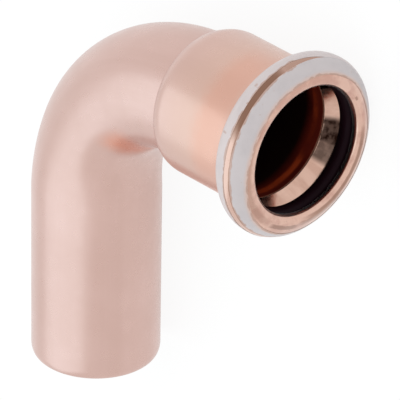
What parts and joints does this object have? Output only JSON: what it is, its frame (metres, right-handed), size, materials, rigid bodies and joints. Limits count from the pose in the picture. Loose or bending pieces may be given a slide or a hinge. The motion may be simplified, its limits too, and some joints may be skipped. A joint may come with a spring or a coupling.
{
  "type": "press fit fitting",
  "caption": "Copper 90 degree press fit elbow with a plain spigot end, and a socket end whose press bead holds a rubber seal ring and carries white indicator film.",
  "frame": {"origin": "bottom centre of the bounding box, on the floor under the elbow as it lies at rest", "axes": "the spigot's axis is horizontal and its open end faces -Y; the socket's mouth faces +X, and its axis rises by about 6 degrees towards +Z because the bead rests on the floor"},
  "size_m": [0.0628, 0.0756, 0.0325],
  "materials": {
    "copper": "satin",
    "black_rubber": "lubricated sheen",
    "white_film": "satin"
  },
  "bodies": {
    "root": {"elbow_body": "copper", "seal_ring": "black_rubber", "indicator_band_rear": "white_film", "indicator_band_front": "white_film"}
  },
  "joints": []
}
